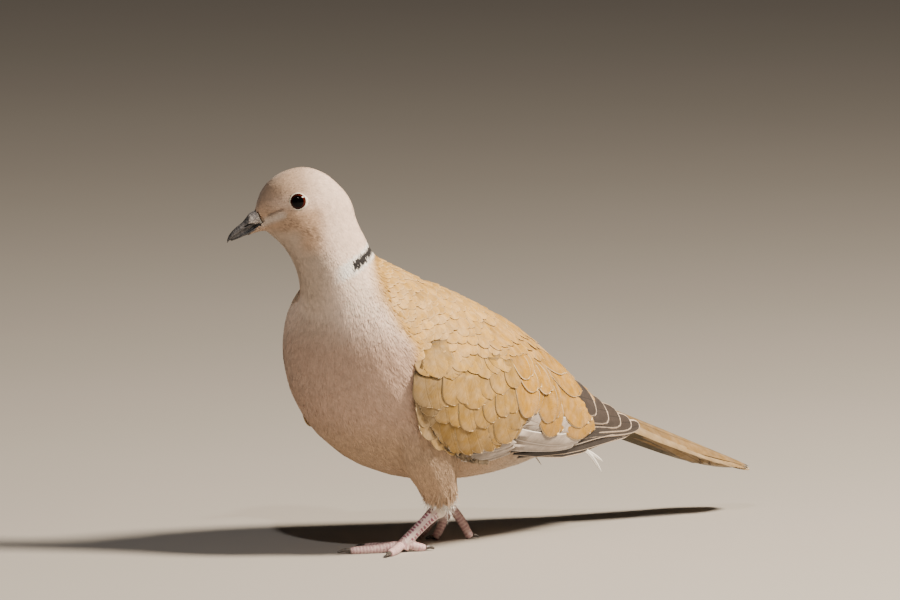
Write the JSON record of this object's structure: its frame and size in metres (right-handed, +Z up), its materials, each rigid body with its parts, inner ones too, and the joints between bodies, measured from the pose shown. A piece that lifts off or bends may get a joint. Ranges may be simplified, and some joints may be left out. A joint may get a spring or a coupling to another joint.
{
  "type": "collared dove",
  "caption": "Life-size collared dove standing in mid-stride, wings folded, head turned to its right.",
  "frame": {"origin": "on the floor below the middle of the bounding box", "axes": "+Z up, the body faces -Y with the tail towards +Y, and the bird's left side is at +X"},
  "size_m": [0.0864, 0.2732, 0.1599],
  "materials": {
    "plumage_pink": "soft vinous pink feathers of head, neck, breast and belly",
    "plumage_sand": "sandy buff feathers of back, wings and tail",
    "flight_dark": "dark brown flight feathers with thin pale fringes",
    "bill_horn": "dark slate horn, paler and scurfy at the base",
    "eye": "glossy dark red iris with a large black pupil",
    "leg_skin": "scaly mauve-red skin with pale edges to the scales",
    "claw_horn": "dark grey horn"
  },
  "bodies": {
    "root": {"head": "plumage_pink", "neck": "plumage_pink", "trunk": "plumage_pink", "tail": "plumage_sand", "left_wing": "plumage_sand", "right_wing": "plumage_sand", "left_primaries": "flight_dark", "right_primaries": "flight_dark", "left_thigh": "plumage_pink", "right_thigh": "plumage_pink", "left_shank": "leg_skin", "right_shank": "leg_skin", "left_middle_toe": "leg_skin", "left_inner_toe": "leg_skin", "left_outer_toe": "leg_skin", "left_hind_toe": "leg_skin", "right_middle_toe": "leg_skin", "right_inner_toe": "leg_skin", "right_outer_toe": "leg_skin", "right_hind_toe": "leg_skin", "left_middle_toe_claw": "claw_horn", "left_inner_toe_claw": "claw_horn", "left_outer_toe_claw": "claw_horn", "left_hind_toe_claw": "claw_horn", "right_middle_toe_claw": "claw_horn", "right_inner_toe_claw": "claw_horn", "right_outer_toe_claw": "claw_horn", "right_hind_toe_claw": "claw_horn", "left_eye": "eye", "right_eye": "eye", "upper_bill": "bill_horn", "lower_bill": "bill_horn"}
  },
  "joints": []
}
